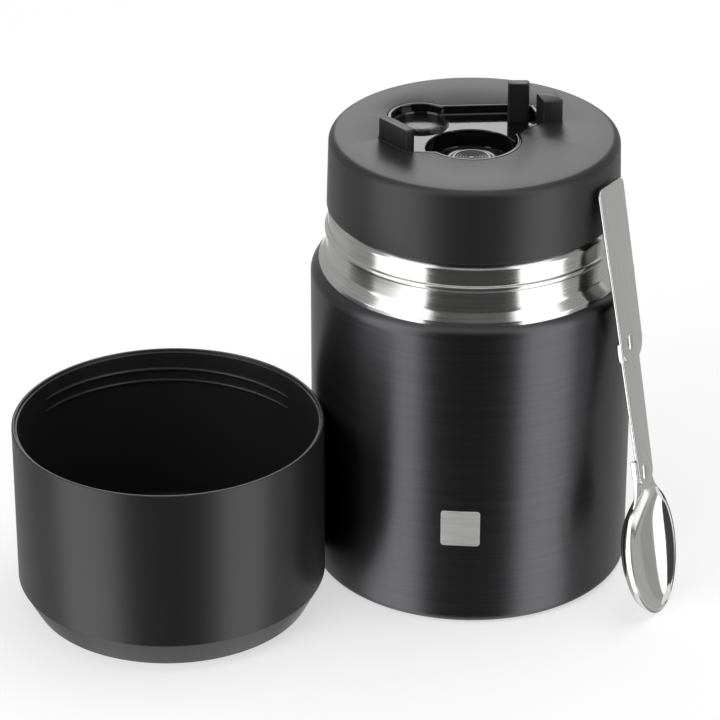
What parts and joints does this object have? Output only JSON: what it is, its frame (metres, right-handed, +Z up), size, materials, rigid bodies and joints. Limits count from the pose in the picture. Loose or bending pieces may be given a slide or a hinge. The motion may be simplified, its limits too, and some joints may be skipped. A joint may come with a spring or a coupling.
{
  "type": "insulated food jar",
  "caption": "Vacuum-walled food jar with screw lid, spoon tray and vent button, shown with its outer cup set down beside it and a folding spoon leaning on the lid.",
  "frame": {"origin": "on the jar's axis, at the centre of the pad and ring that it stands on", "axes": "+Z up along the jar's axis; the cup stands towards -X, the spoon leans towards +X -Y"},
  "size_m": [0.214, 0.1331, 0.1596],
  "materials": {
    "painted_shell": "satin black paint on drawn steel",
    "brushed_neck": "brushed round the axis",
    "bare_steel": "plain rolled",
    "liner_steel": "electropolished",
    "badge_steel": "fine brushed, blank",
    "polished_steel": "mirror-polished stainless",
    "foil": "bright foil",
    "glass_bead": "solder glass",
    "lid_plastic": "fine satin texture",
    "cup_plastic": "fine satin texture",
    "tray_gloss": "high gloss black",
    "stopper_plastic": "smooth",
    "foam": "expanded foam",
    "silicone": "matt silicone"
  },
  "bodies": {
    "jar": {"outer_shell": "painted_shell", "neck_ring": "brushed_neck", "shell_base": "bare_steel", "base_pad": "silicone", "seal_bead": "glass_bead", "getter": "bare_steel", "liner": "liner_steel", "radiation_foil": "foil", "badge_plate": "badge_steel"},
    "lid_seal": {"lid_gasket": "silicone"},
    "lid": {"lid_cover": "lid_plastic", "spoon_tray": "tray_gloss", "stopper": "stopper_plastic", "lid_insulation": "foam"},
    "vent": {"vent_button": "tray_gloss", "vent_seal": "silicone", "vent_spring": "silicone"},
    "cup": {"cup": "cup_plastic"},
    "spoon_link": {"spoon_link": "polished_steel", "handle_rivet": "polished_steel", "bowl_rivet": "polished_steel"},
    "spoon_handle": {"spoon_handle": "polished_steel"},
    "spoon_bowl": {"spoon_bowl": "polished_steel"}
  },
  "joints": [
    {"name": "lid_rise", "type": "slide", "parent": "jar", "child": "lid_seal", "axis": [0, 0, 1], "range_m": [0, 0.024]},
    {"name": "lid_turn", "type": "hinge", "parent": "lid_seal", "child": "lid", "pos_m": [0, 0, 0.13], "axis": [0, 0, 1], "range_deg": [0, 720]},
    {"name": "vent_press", "type": "slide", "parent": "lid", "child": "vent", "axis": [0, 0, -1], "range_m": [0, 0.0012], "stiffness_N_per_m": 800, "springref_m": -0.001, "deforming": ["vent_spring"]},
    {"name": "cup_lift", "type": "slide", "parent": "jar", "child": "cup", "axis": [0, 0, 1], "range_m": [0, 0.2]},
    {"name": "spoon_lift", "type": "slide", "parent": "jar", "child": "spoon_link", "axis": [0, 0, 1], "range_m": [0, 0.18]},
    {"name": "handle_fold", "type": "hinge", "parent": "spoon_link", "child": "spoon_handle", "pos_m": [0.04827, -0.03027, 0.09125], "axis": [-0.8446, 0.4955, -0.2025], "range_deg": [0, 160]},
    {"name": "bowl_fold", "type": "hinge", "parent": "spoon_link", "child": "spoon_bowl", "pos_m": [0.05482, -0.03676, 0.04802], "axis": [0.8446, -0.4955, 0.2025], "range_deg": [0, 150]}
  ],
  "couplings": [
    {"joint": "lid_rise", "follows": "lid_turn", "m_per_rad": 0.0019099}
  ]
}
